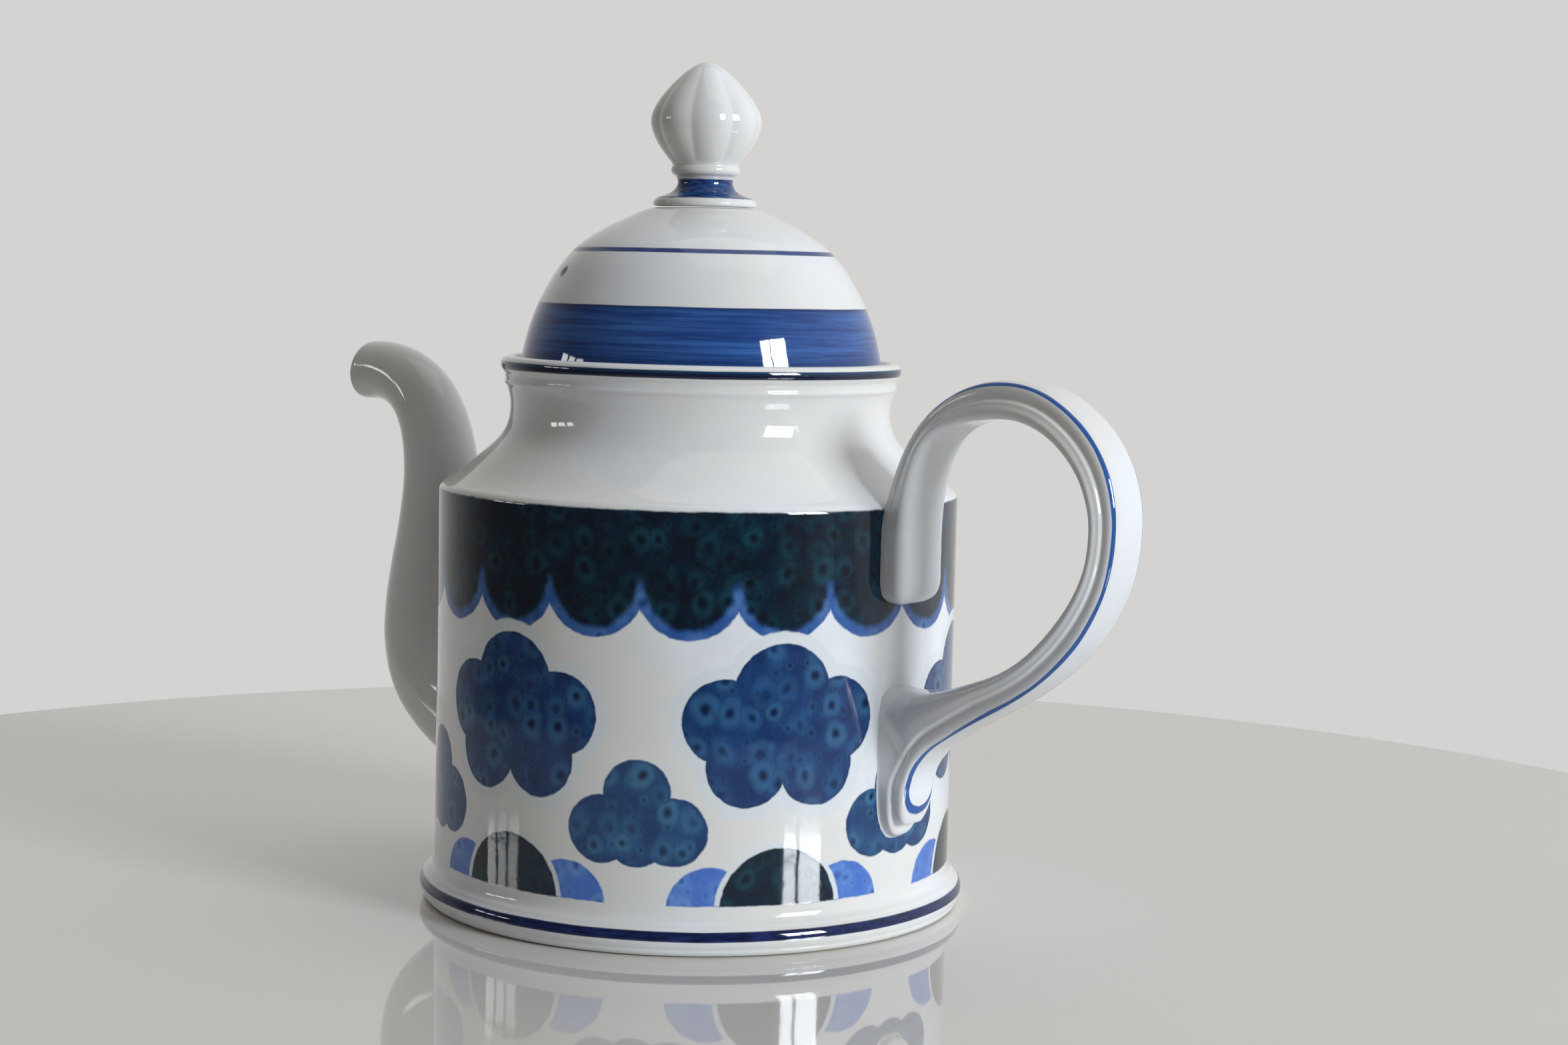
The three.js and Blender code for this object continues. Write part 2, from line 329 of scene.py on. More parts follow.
class Graph:
    def __init__(self, name):
        self.mat = bpy.data.materials.new(name)
        self.mat.use_nodes = True
        self.nt = self.mat.node_tree
        self.nt.nodes.clear()
        self.out = self.nt.nodes.new("ShaderNodeOutputMaterial")
        self.bsdf = self.nt.nodes.new("ShaderNodeBsdfPrincipled")
        self.nt.links.new(self.bsdf.outputs["BSDF"], self.out.inputs["Surface"])
        tc = self.nt.nodes.new("ShaderNodeTexCoord")
        scale = self.nt.nodes.new("ShaderNodeVectorMath")
        scale.operation = "SCALE"
        scale.inputs["Scale"].default_value = 1000.0
        self.nt.links.new(tc.outputs["Object"], scale.inputs[0])
        self.p = scale.outputs[0]  # the point in millimetres
        sep = self.nt.nodes.new("ShaderNodeSeparateXYZ")
        self.nt.links.new(self.p, sep.inputs[0])
        self.x, self.y, self.z = (Val(self, sep.outputs[i]) for i in range(3))

    def put(self, socket, v):
        if isinstance(v, Val):
            self.nt.links.new(v.s, socket)
        elif isinstance(v, bpy.types.NodeSocket):
            self.nt.links.new(v, socket)
        elif isinstance(v, (tuple, list)):
            socket.default_value = (
                v if len(v) == len(socket.default_value) else tuple(v)[:3]
            )
        else:
            socket.default_value = v

    def math(self, op, *args, clamp=False):
        n = self.nt.nodes.new("ShaderNodeMath")
        n.operation, n.use_clamp = op, clamp
        for i, a in enumerate(args):
            self.put(n.inputs[i], a)
        return Val(self, n.outputs[0])

    def low(self, a, b):
        return self.math("MINIMUM", a, b)

    def high(self, a, b):
        return self.math("MAXIMUM", a, b)

    def vec(self, x, y, z=0.0):
        n = self.nt.nodes.new("ShaderNodeCombineXYZ")
        for i, a in enumerate((x, y, z)):
            self.put(n.inputs[i], a)
        return n.outputs[0]

    def vmath(self, op, a, b=None, scale=None):
        n = self.nt.nodes.new("ShaderNodeVectorMath")
        n.operation = op
        self.put(n.inputs[0], a)
        if b is not None:
            self.put(n.inputs[1], b)
        if scale is not None:
            self.put(n.inputs["Scale"], scale)
        return n

    def ramp(self, v, a, b, to_a=0.0, to_b=1.0, smooth=True):
        """v mapped from a..b to to_a..to_b, clamped."""
        n = self.nt.nodes.new("ShaderNodeMapRange")
        n.interpolation_type = "SMOOTHSTEP" if smooth else "LINEAR"
        n.clamp = True
        self.put(n.inputs["Value"], v)
        for k, x in zip(("From Min", "From Max", "To Min", "To Max"), (a, b, to_a, to_b)):
            self.put(n.inputs[k], x)
        return Val(self, n.outputs["Result"])

    def cover(self, d, soft):
        """1 inside a shape (d below 0) and 0 outside, with an edge this soft."""
        return self.ramp(d, soft, -soft)

    def band(self, v, lo, hi, soft):
        return self.ramp(v, lo - soft, lo + soft) * self.ramp(v, hi + soft, hi - soft)

    def mix(self, f, a, b, mode="MIX"):
        n = self.nt.nodes.new("ShaderNodeMix")
        n.data_type, n.blend_type, n.clamp_factor = "RGBA", mode, True
        self.put(n.inputs[0], f)
        self.put(n.inputs[6], a)
        self.put(n.inputs[7], b)
        return n.outputs[2]

    def mixf(self, f, a, b):
        n = self.nt.nodes.new("ShaderNodeMix")
        n.data_type, n.clamp_factor = "FLOAT", True
        self.put(n.inputs[0], f)
        self.put(n.inputs[2], a)
        self.put(n.inputs[3], b)
        return Val(self, n.outputs[0])

    def shade(self, colour, k):
        """colour times the number k."""
        n = self.vmath("SCALE", colour, scale=k)
        return n.outputs[0]

    def noise(self, p, scale, detail=2.0, rough=0.5, dims="3D", distortion=0.0):
        n = self.nt.nodes.new("ShaderNodeTexNoise")
        n.noise_dimensions = dims
        self.put(n.inputs["Vector"], p)
        n.inputs["Scale"].default_value = scale
        n.inputs["Detail"].default_value = detail
        n.inputs["Roughness"].default_value = rough
        n.inputs["Distortion"].default_value = distortion
        return n

    def noise_val(self, *a, **k):
        return Val(self, self.noise(*a, **k).outputs[0])

    def voronoi(self, p, scale, randomness=1.0, dims="2D", feature="F1"):
        n = self.nt.nodes.new("ShaderNodeTexVoronoi")
        n.voronoi_dimensions, n.feature = dims, feature
        self.put(n.inputs["Vector"], p)
        n.inputs["Scale"].default_value = scale
        n.inputs["Randomness"].default_value = randomness
        return n

    def channels(self, colour):
        n = self.nt.nodes.new("ShaderNodeSeparateColor")
        self.put(n.inputs[0], colour)
        return [Val(self, n.outputs[i]) for i in range(3)]

    def attribute(self, name):
        n = self.nt.nodes.new("ShaderNodeAttribute")
        n.attribute_type, n.attribute_name = "GEOMETRY", name
        return Val(self, n.outputs["Fac"])

    def around(self):
        """Angle about Z in radians."""
        return self.math("ARCTAN2", self.y, self.x)

    def radius(self):
        return self.math("SQRT", self.x * self.x + self.y * self.y)


WHITE = lin((232, 236, 242))
CREAM = lin((229, 229, 226))


def white_glaze(g):
    """White porcelain under a clear glaze: a faint cool pooling, a warmer cast where the glaze is thin, and a few kiln specks."""
    broad = g.noise_val(g.p, 0.018, detail=2)
    colour = g.mix(g.ramp(broad, 0.35, 0.65), WHITE, CREAM)
    fine = g.noise_val(g.p, 0.16, detail=3, rough=0.6)
    colour = g.mix(g.ramp(fine, 0.3, 0.8) * 0.25, colour, lin((214, 222, 233)))
    v = g.voronoi(g.p, 0.085, dims="3D")
    rnd = g.channels(v.outputs["Color"])
    dist = Val(g, v.outputs["Distance"]) / 0.085
    speck = g.ramp(dist, 0.26, 0.12) * g.ramp(rnd[0], 0.80, 0.82)
    return g.mix(speck * 0.55, colour, lin((120, 112, 100)))


def finish_glaze(g, colour, relief=None, matte=None):
    """Puts the colour under a glossy glaze with a slight orange-peel. matte is a mask of bare, unglazed clay."""
    wavy = g.noise_val(g.p, 0.10, detail=1.5)
    peel = g.noise_val(g.p, 0.55, detail=2)
    height = wavy * 0.045 + peel * 0.006
    if relief is not None:
        height = height + relief
    rough = g.ramp(g.noise_val(g.p, 0.05, detail=3), 0.3, 0.7, 0.035, 0.07)
    if matte is not None:
        grit = g.noise_val(g.p, 2.2, detail=3)
        colour = g.mix(matte, colour, g.mix(grit, lin((196, 188, 176)), lin((222, 216, 206))))
        rough = g.mixf(matte, rough, 0.75)
        height = height + matte * grit * 0.06
    bump = g.nt.nodes.new("ShaderNodeBump")
    bump.inputs["Strength"].default_value = 1.0
    bump.inputs["Distance"].default_value = 0.001
    g.put(bump.inputs["Height"], height)
    g.put(g.bsdf.inputs["Normal"], bump.outputs[0])
    g.put(g.bsdf.inputs["Base Color"], colour)
    g.put(g.bsdf.inputs["Roughness"], rough)
    g.bsdf.inputs["IOR"].default_value = 1.52
    g.bsdf.inputs["Coat Weight"].default_value = 0.0
    return g.mat


def streaks(g, along, across, a, b):
    """Brush streaks: noise drawn out along one coordinate."""
    v = g.vec(along * a, across * b)
    return g.noise_val(v, 1.0, detail=3, rough=0.6)


# =================================================================================================
# Painting on the wall: scalloped clouds built from circles, laid out in millimetres as (along the wall, height)
# =================================================================================================
WALL_R = 68.0
HALF_TURN = WALL_R * math.pi

# A regular scalloped border of the builder's own: the same few circles repeat six times round the wall.
REPEAT = HALF_TURN / 3
CANOPY = [(-REPEAT / 3, 90, 13.4), (0, 90, 13.4), (REPEAT / 3, 90, 13.4)]
CLOUD = [(0, 63.5, 12.5), (-14.5, 57, 10.5), (14.5, 57, 10.5), (-9, 46, 10), (9, 46, 10), (0, 54, 12)]
PUFF = [(0, 39, 8.5), (-9, 30, 8.5), (9, 30, 8.5), (0, 29, 8)]
DOME = [(0, 11, 15)]
SIDE_DOMES = [(-17.5, 11, 10.5), (17.5, 11, 10.5)]


def painted_wall():
    g = Graph("glaze_painted_wall")
    theta = g.around()
    u_round = theta * WALL_R
    # the painting is laid twice round the wall, half a turn apart
    half = g.math("GREATER_THAN", u_round, 0.0)
    u0 = u_round - half * HALF_TURN
    z0 = g.z
    # brush wobble
    wob = g.noise(g.p, 0.33, detail=2)
    wr = g.channels(wob.outputs["Color"])
    u = u0 + (wr[0] - 0.5) * 0.75
    z = z0 + (wr[1] - 0.5) * 0.75
    fuzz_n = g.noise_val(g.p, 2.4, detail=3, rough=0.65) - 0.5
    q = g.vec(u, z)
    q_true = g.vec(u0, z0)

    def circle(cx, cz, r, at=None):
        d = g.vmath("DISTANCE", at or q, (cx, cz, 0))
        return Val(g, d.outputs["Value"]) - r

    def union(lobes):
        d = None
        for c in lobes:
            e = circle(*c)
            d = e if d is None else g.low(d, e)
        return d

    def box(cx, cz, hx, hz):
        ax = g.math("ABSOLUTE", u - cx) - hx
        az = g.math("ABSOLUTE", z - cz) - hz
        return g.high(ax, az)

    top_line = z0 + (wr[2] - 0.5) * 0.5 - 107.75
    bottom_line = 11.9 - z0 + (wr[2] - 0.5) * 0.6

    # --- blooms: dark dots in pale rings, as the pigment gathers in the kiln --------------------
    def blooms(cell, size, seed, stretch=0.88):
        w = g.noise(q_true, 0.11, detail=1)
        wc = g.channels(w.outputs["Color"])
        shake = (grain - 0.5) * 0.35
        pu = u0 + (wc[0] - 0.5) * 3.0 + seed + shake
        pz = (z0 + (wc[1] - 0.5) * 3.0) * stretch + seed * 0.7 - shake
        v = g.voronoi(g.vec(pu, pz), 1 / cell, randomness=0.85)
        rnd = g.channels(v.outputs["Color"])
        s = g.ramp(rnd[0], 0.0, 1.0, 0.75 * size, 1.25 * size, smooth=False)
        mm = Val(g, v.outputs["Distance"]) * cell
        x = mm / s
        strength = g.ramp(rnd[1], 0.1, 0.9, 0.35, 1.0)
        core = g.ramp(x, 1.2, 0.05) * strength
        halo = g.ramp(x, 0.45, 1.5) * g.ramp(x, 3.0, 1.5) * strength
        ring = g.ramp(mm, 0.36 * cell, 0.62 * cell)
        return core, halo, ring

    flow = streaks(g, u0, z0, 0.75, 0.06)  # vertical drift of the glaze
    mottle = g.noise_val(q_true, 0.14, detail=5, rough=0.62)
    grain = g.noise_val(q_true, 1.5, detail=3, rough=0.7)
    core1, halo1, ring1 = blooms(7.2, 1.15, 3.1)
    core2, halo2, ring2 = blooms(4.9, 0.55, 41.7)
    core = g.high(core1, core2 * 0.45)
    halo = g.high(halo1, halo2 * 0.35)
    ring = g.high(ring1, ring2 * 0.5)

    def pigment(base, deep, bright, eye, eye_amount=1.0, d=None):
        """A pigment area: cloudy base, deeper veins, pale rings and dark dots, and a darker line where it stops."""
        c = g.mix(g.ramp(mottle, 0.32, 0.66), deep, base)
        c = g.mix(g.ramp(flow, 0.42, 0.74) * 0.5, c, deep)
        c = g.mix(g.ramp(grain, 0.35, 0.8) * 0.16, c, bright)
        c = g.mix(ring * (0.55 * eye_amount), c, deep)
        c = g.mix(halo * (0.55 * eye_amount), c, bright)
        c = g.mix(core * (0.95 * eye_amount), c, eye)
        if d is not None:
            c = g.mix(g.ramp(d, -1.5, -0.2) * 0.45, c, deep)
        return c

    fuzz = fuzz_n * 0.55

    # --- colours ---------------------------------------------------------------------------------
    cobalt = dict(
        base=lin((37, 80, 136)),
        deep=lin((17, 47, 97)),
        bright=lin((60, 113, 151)),
        eye=lin((7, 17, 38)),
    )
    teal = dict(
        base=lin((40, 90, 139)),
        deep=lin((20, 57, 107)),
        bright=lin((70, 128, 160)),
        eye=lin((9, 18, 38)),
    )
    night = dict(
        base=lin((12, 31, 50)),
        deep=lin((8, 20, 34)),
        bright=lin((26, 52, 68)),
        eye=lin((4, 8, 18)),
    )
    sea = dict(
        base=lin((9, 40, 60)),
        deep=lin((6, 24, 44)),
        bright=lin((22, 78, 92)),
        eye=lin((7, 16, 28)),
    )
    peri = dict(
        base=lin((64, 112, 180)),
        deep=lin((46, 88, 164)),
        bright=lin((98, 138, 196)),
        eye=lin((30, 52, 104)),
    )
    lilac = dict(
        base=lin((86, 132, 212)),
        deep=lin((68, 110, 200)),
        bright=lin((122, 168, 226)),
        eye=lin((34, 56, 110)),
    )

    colour = white_glaze(g)
    ink = 0.0

    # --- the repeat, measured from the middle of a cloud and from the middle of a gap --------------
    mid = (g.math("FRACT", u / REPEAT) - 0.5) * REPEAT
    gap = (g.math("FRACT", u / REPEAT + 0.5) - 0.5) * REPEAT
    at_mid = g.vec(mid, z)
    at_gap = g.vec(gap, z)

    def group(lobes, at):
        d = None
        for c in lobes:
            e = circle(*c, at=at)
            d = e if d is None else g.low(d, e)
        return d

    pale = lin((222, 229, 234))
    # dark canopy along the top, its scallops edged in softer blue
    d_can = g.high(g.low(group(CANOPY, at_mid), 90.0 - z), top_line)
    c_can = g.mix(g.ramp(mottle, 0.35, 0.62), pigment(**night, eye_amount=0.7), pigment(**sea, eye_amount=0.9))
    edge = g.ramp(d_can + (mottle - 0.5) * 2.0, -3.4, -1.4) * g.ramp(z, 92.0, 88.0)
    c_can = g.mix(edge * 0.9, c_can, pigment(**peri, eye_amount=0.8))
    colour = g.mix(g.cover(d_can + fuzz * 0.5, 0.32), colour, c_can)
    # small clouds in the gaps
    d_puff = g.high(group(PUFF, at_gap), bottom_line)
    colour = g.mix(g.cover(d_puff + fuzz * 0.3, 0.28), colour, pigment(**teal, d=d_puff))
    # domes along the bottom
    d_side = g.high(group(SIDE_DOMES, at_mid), bottom_line)
    colour = g.mix(g.cover(d_side + fuzz * 0.3, 0.28), colour, pigment(**lilac, eye_amount=0.7))
    d_dome = g.high(group(DOME, at_mid), bottom_line)
    colour = g.mix(g.cover(d_dome - 1.3 + fuzz * 0.4, 0.3) * g.ramp(bottom_line, 0.1, -0.5), colour, pale)
    colour = g.mix(g.cover(d_dome + fuzz * 0.3, 0.28), colour, pigment(**sea, eye_amount=0.9, d=d_dome))
    # clouds, each in a broad white outline
    d_cloud = group(CLOUD, at_mid)
    colour = g.mix(g.cover(d_cloud - 3.0 + fuzz, 0.36), colour, pale)
    colour = g.mix(g.cover(d_cloud + fuzz * 0.25, 0.24), colour, pigment(**cobalt, d=d_cloud))

    # --- rings --------------------------------------------------------------------------------------
    r = g.radius()
    colour = g.mix(g.ramp(r, 65.6, 66.4), white_glaze(g), colour)  # nothing is painted inside the pot
    outside = g.ramp(r, 50.9, 51.4)
    foot_wob = (g.noise_val(g.vec(theta * 3.0, 0.0), 1.0, detail=2) - 0.5) * 0.35
    navy = g.mix(
        g.ramp(streaks(g, theta, z0, 14.0, 0.9), 0.35, 0.7), lin((12, 22, 62)), lin((30, 48, 104))
    )
    foot = g.band(z0 + foot_wob, 4.0, 6.35, 0.16) * g.ramp(r, 69.0, 70.0)
    colour = g.mix(foot, colour, navy)
    rim_top = g.mix(g.ramp(z0, 139.6, 140.6), lin((16, 26, 56)), lin((24, 62, 98)))
    rim = g.band(z0 + foot_wob * 0.8, 138.75, 140.75, 0.14) * outside
    colour = g.mix(rim, colour, rim_top)

    # unglazed foot ring
    matte = g.ramp(z0, 0.5, 0.2) * g.ramp(r, 63.0, 63.6) * g.ramp(r, 70.6, 70.1)
    return finish_glaze(g, colour, relief=None, matte=matte)


def plain_glaze(name):
    g = Graph(name)
    return finish_glaze(g, white_glaze(g))


def lid_glaze():
    g = Graph("glaze_lid")
    theta = g.around()
    z = g.z
    r = g.radius()
    wob = (g.noise_val(g.vec(theta * 2.2, z * 0.02), 1.0, detail=2) - 0.5) * 0.5
    colour = white_glaze(g)
    s1 = streaks(g, theta, z, 0.9, 0.62)
    s2 = streaks(g, theta, z, 3.0, 2.4)
    blue = g.mix(g.ramp(s1, 0.36, 0.66), lin((27, 62, 126)), lin((54, 98, 168)))
    blue = g.mix(g.ramp(s2, 0.48, 0.78) * 0.45, blue, lin((80, 126, 194)))
    edge_hi = g.ramp(z + wob, 154.6, 155.9)
    edge_lo = g.ramp(z + wob, 144.6, 142.4)
    blue = g.mix(g.high(edge_hi, edge_lo * 0.7) * 0.8, blue, lin((14, 44, 96)))
    out = g.ramp(z, 138.9, 139.4) * g.ramp(r, 41.2, 41.6)
    lo_out = g.ramp(z + wob * 0.6, 141.5, 141.9)
    band = lo_out * g.ramp(z + wob * 0.7, 156.2, 155.9) * out
    colour = g.mix(band, colour, blue)
    line_blue = g.mix(g.ramp(s2, 0.35, 0.7), lin((28, 46, 104)), lin((56, 80, 144)))
    outside = g.ramp(r, 32.6, 33.0)
    line = g.band(z + wob * 0.5, 169.35, 170.45, 0.13) * g.ramp(r, 30.5, 31.2)
    colour = g.mix(line * g.ramp(s2, 0.2, 0.5, 0.8, 1.0), colour, line_blue)
    return finish_glaze(g, colour)


def knob_glaze():
    g = Graph("glaze_knob")
    theta = g.around()
    z = g.z
    wob = (g.noise_val(g.vec(theta * 1.5, 0.0), 1.0, detail=2) - 0.5) * 0.5
    s = streaks(g, theta, z, 2.6, 1.6)
    blue = g.mix(g.ramp(s, 0.3, 0.7), lin((14, 36, 84)), lin((52, 90, 152)))
    colour = white_glaze(g)
    band = g.band(z + wob, 183.6, 188.6, 0.2)
    colour = g.mix(band, colour, blue)
    return finish_glaze(g, colour)


def handle_glaze():
    g = Graph("glaze_handle")
    s = g.attribute("strap_s")  # along the strap, in mm from the lower tip
    w = g.attribute("strap_w")  # across it, in mm on the outer face
    e = g.attribute("strap_e")  # 0 on the outer face, 1 on the inner
    colour = white_glaze(g)
    wob = (g.noise_val(g.vec(s * 0.045, 0.0), 1.0, detail=1) - 0.5) * 0.45
    reach = g.ramp(s, 16.0, 48.0, 5.15, 6.1)
    d = w - reach + wob * 0.35
    thick = g.noise_val(g.vec(s * 0.07, 0.3), 1.0, detail=2)
    width = g.ramp(thick, 0.3, 0.7, 0.40, 0.52) + g.ramp(s, 34.0, 16.0, 0.0, 0.24)
    # the stroke tapers off as it comes round to the far side
    far = g.ramp(g.y, -0.5, 1.5) * g.ramp(s, 46.0, 30.0)
    width = width - far * g.ramp(s, 8.0, 16.0, 0.0, 0.75)
    line = g.cover(g.math("ABSOLUTE", d) - width, 0.1) * g.ramp(e, 0.3, 0.24)
    blue = g.mix(thick, lin((32, 74, 146)), lin((62, 114, 188)))
    colour = g.mix(line, colour, blue)
    return finish_glaze(g, colour)


# =================================================================================================
# Body
# =================================================================================================
BODY_OUT = [
    (0, 1.6),
    (40, 1.6),
    (61.8, 1.6),
    (63.6, 1.2),
    (64.6, 0.25),
    (65.4, 0.0),
    (68.9, 0.0),
    (69.9, 0.15),
    (70.6, 0.7),
    (70.95, 1.3),
    (71.0, 1.75),
    (71.15, 2.1),
    (71.55, 2.9),
    (71.78, 3.9),
    (71.7, 4.9),
    (71.35, 5.85),
    (70.75, 6.55),
    (70.2, 7.0),
    (69.95, 7.35),
    (69.55, 7.75),
    (69.0, 8.2),
    (68.6, 8.7),
    (68.3, 9.4),
    (68.1, 10.3),
    (68.0, 11.4),
    (68.0, 14),
    (68.0, 24),
    (68.0, 38),
    (68.0, 52),
    (68.0, 66),
    (68.0, 80),
    (68.0, 94),
    (68.0, 103),
    (68.0, 106.6),
    (67.92, 107.5),
    (67.6, 108.3),
    (67.0, 108.95),
    (66.1, 109.5),
    (65.0, 110.2),
    (62.6, 111.85),
    (60, 113.9),
    (57.6, 115.95),
    (55.5, 117.8),
    (53.6, 119.65),
    (52.1, 121.4),
    (50.9, 123.4),
    (50.15, 125.7),
    (49.8, 128.3),
    (49.9, 130.8),
    (50.35, 132.9),
    (50.85, 134.3),
    (51.3, 134.95),
    (51.42, 135.4),
    (51.25, 135.85),
    (51.2, 136.6),
    (51.35, 137.4),
    (51.8, 138.1),
    (52.2, 138.8),
    (52.4, 139.7),
    (52.25, 140.7),
    (51.75, 141.45),
    (51.1, 141.85),
    (50.4, 142.0),
    (49.7, 141.85),
    (49.15, 141.4),
    (48.85, 140.7),
    (48.75, 139.6),
    (48.65, 138.6),
    (48.3, 138.25),
    (47.0, 138.2),
    (45.6, 138.1),
    (44.9, 137.6),
    (44.62, 136.6),
    (44.7, 133),
    (44.95, 129),
    (45.8, 124.5),
    (48.8, 119.2),
    (53.6, 114.9),
    (59.4, 110),
    (62.9, 105.5),
    (64, 100),
    (64, 80),
    (64, 60),
    (64, 40),
    (64, 22),
    (63.6, 16.5),
    (62.2, 12.6),
    (59, 10.0),
    (54, 8.6),
    (45, 7.9),
    (25, 7.5),
    (0, 7.4),
]


def build_body():
    prof = smooth_curve(BODY_OUT, 3, corners=())
    prof[:, 0] = np.maximum(prof[:, 0], 0)
    prof[0] = BODY_OUT[0]
    prof[-1] = BODY_OUT[-1]
    v, f = lathe(prof, 208, turn=math.pi / 208)
    ob = make_object("painted_body", v, f, None)
    face_out(ob)
    # strainer behind the spout
    holes = [(0.0, 38.0)] + [
        (9 * math.cos(i * math.pi / 3 + math.pi / 6), 38 + 9 * math.sin(i * math.pi / 3 + math.pi / 6))
        for i in range(6)
    ]
    cutters = []
    for i, (y, z) in enumerate(holes):
        edge = [(0, -76), (2.3, -76), (2.3, -67.2), (2.3, -64.6), (2.7, -63.95), (3.6, -63.3), (3.6, -58), (0, -58)]
        cv, cf = lathe(edge, 24)
        cv = np.stack([cv[:, 2], cv[:, 0] + y, cv[:, 1] + z], 1)
        c = make_object(f"cutter{i}", cv, cf, None)
        face_out(c)
        cutters.append(c)
    cut(ob, cutters, sharp=32)
    ob.data.materials.append(painted_wall())
    return ob


# =================================================================================================
# Spout
# =================================================================================================
SPOUT = [
    (-56, 33.5, 18.6, 22.0),
    (-66, 36.0, 18.3, 20.1),
    (-76, 39.2, 17.7, 18.2),
    (-86.6, 43.8, 17.2, 17.6),
    (-94.2, 50.2, 16.7, 17.2),
    (-98.2, 58.4, 15.9, 16.4),
    (-99.6, 67.6, 14.8, 15.1),
    (-99.6, 77.4, 13.5, 13.8),
    (-98.9, 87.2, 12.4, 12.5),
    (-98.3, 96.8, 11.5, 11.6),
    (-98.5, 105.8, 10.8, 10.8),
    (-99.8, 113.8, 10.3, 10.3),
    (-102.5, 121.2, 9.8, 9.8),
    (-107.0, 127.4, 9.3, 9.3),
    (-113.2, 131.6, 8.8, 8.8),
    (-119.8, 133.6, 8.5, 8.5),
    (-125.0, 134.0, 8.4, 8.4),
    (-128.2, 133.9, 8.4, 8.4),
]
SPOUT_N = 72


def spout_rings(line, shrink, slant_last=1.5):
    x, z, a, b = line.T
    dx, dz = np.gradient(x), np.gradient(z)
    n = np.hypot(dx, dz)
    dx, dz = dx / n, dz / n
    ang = np.arange(SPOUT_N) * 2 * math.pi / SPOUT_N
    length = np.concatenate([[0], np.cumsum(np.hypot(np.diff(x), np.diff(z)))])
    tail = smoothstep(length[-1] - 3.2, length[-1], length)
    u = (b - shrink)[:, None] * np.cos(ang)
    w = (a - shrink)[:, None] * np.sin(ang)
    px = x[:, None] - dz[:, None] * u - (slant_last * tail)[:, None] * u / b[:, None]
    pz = z[:, None] + dx[:, None] * u
    return np.stack([px, w, pz], 2)


def build_spout():
    line = smooth_curve(SPOUT, 7)
    outer = spout_rings(line, np.zeros(len(line)))
    near = np.clip(1 - np.arange(len(line)) / (5.0 * 7), 0, 1)
    inner = spout_rings(line, 2.7 + near * 0.9)
    wall = WALL_R - 0.5

    def start_at_wall(rings, depth):
        """Each line along the spout starts where it leaves the wall."""
        out = np.empty_like(rings)
        m = len(rings)
        for k in range(rings.shape[1]):
            path = rings[:, k]
            r = np.hypot(path[:, 0], path[:, 1]) - depth
            below = np.nonzero(r < 0)[0]
            i = below.max() if len(below) else 0
            i = min(i, m - 2)
            t = np.clip(-r[i] / (r[i + 1] - r[i]), 0, 1) if len(below) else 0.0
            first = path[i] * (1 - t) + path[i + 1] * t
            rest = np.vstack([first, path[i + 1 :]])
            s = np.concatenate([[0], np.cumsum(np.linalg.norm(np.diff(rest, axis=0), axis=1))])
            g = np.linspace(0, 1, m)
            g = g**1.25
            full = s[-1]
            for c in range(3):
                out[:, k, c] = np.interp(g * full, s, rest[:, c])
        return out

    outer = start_at_wall(outer, wall)
    inner = start_at_wall(inner, WALL_R - 0.5)
    # rounded lip from the outer to the inner edge of the mouth
    lip = []
    o, i = outer[-1], inner[-1]
    mid = (o + i) / 2
    axis = np.array([-1.0, 0, 0.0])
    for t in np.linspace(0, math.pi, 9)[1:-1]:
        lip.append(mid + (o - mid) * math.cos(t) + axis * 1.15 * math.sin(t))
    rings = np.concatenate([outer, np.array(lip), inner[::-1]])
    # close the foot of the wall thickness
    n = SPOUT_N
    m = len(rings)
    verts = rings.reshape(-1, 3)
    faces = []
    for j in range(m):
        for k in range(n):
            k1 = (k + 1) % n
            j1 = (j + 1) % m
            faces.append((j * n + k, j * n + k1, j1 * n + k1, j1 * n + k))
    ob = make_object("spout_glazed", verts, faces, plain_glaze("glaze_spout"))
    face_out(ob)
    luting_fillet(ob, WALL_R, 2.4, keep=lambda co: smoothstep(0, 1, outside_of(co)))
    return ob


def outside_of(co):
    """1 for points of the spout's outer skin near the root, told by their distance from its middle line."""
    x, z, a, b = smooth_curve(SPOUT, 7).T
    d = np.full(len(co), 1e9)
    share = np.zeros(len(co))
    for i in range(len(x)):
        dd = (co[:, 0] - x[i]) ** 2 + (co[:, 2] - z[i]) ** 2 + co[:, 1] ** 2
        better = dd < d
        d[better] = dd[better]
        share[better] = np.sqrt(dd[better]) / a[i]
    return (share - 0.86) / 0.08


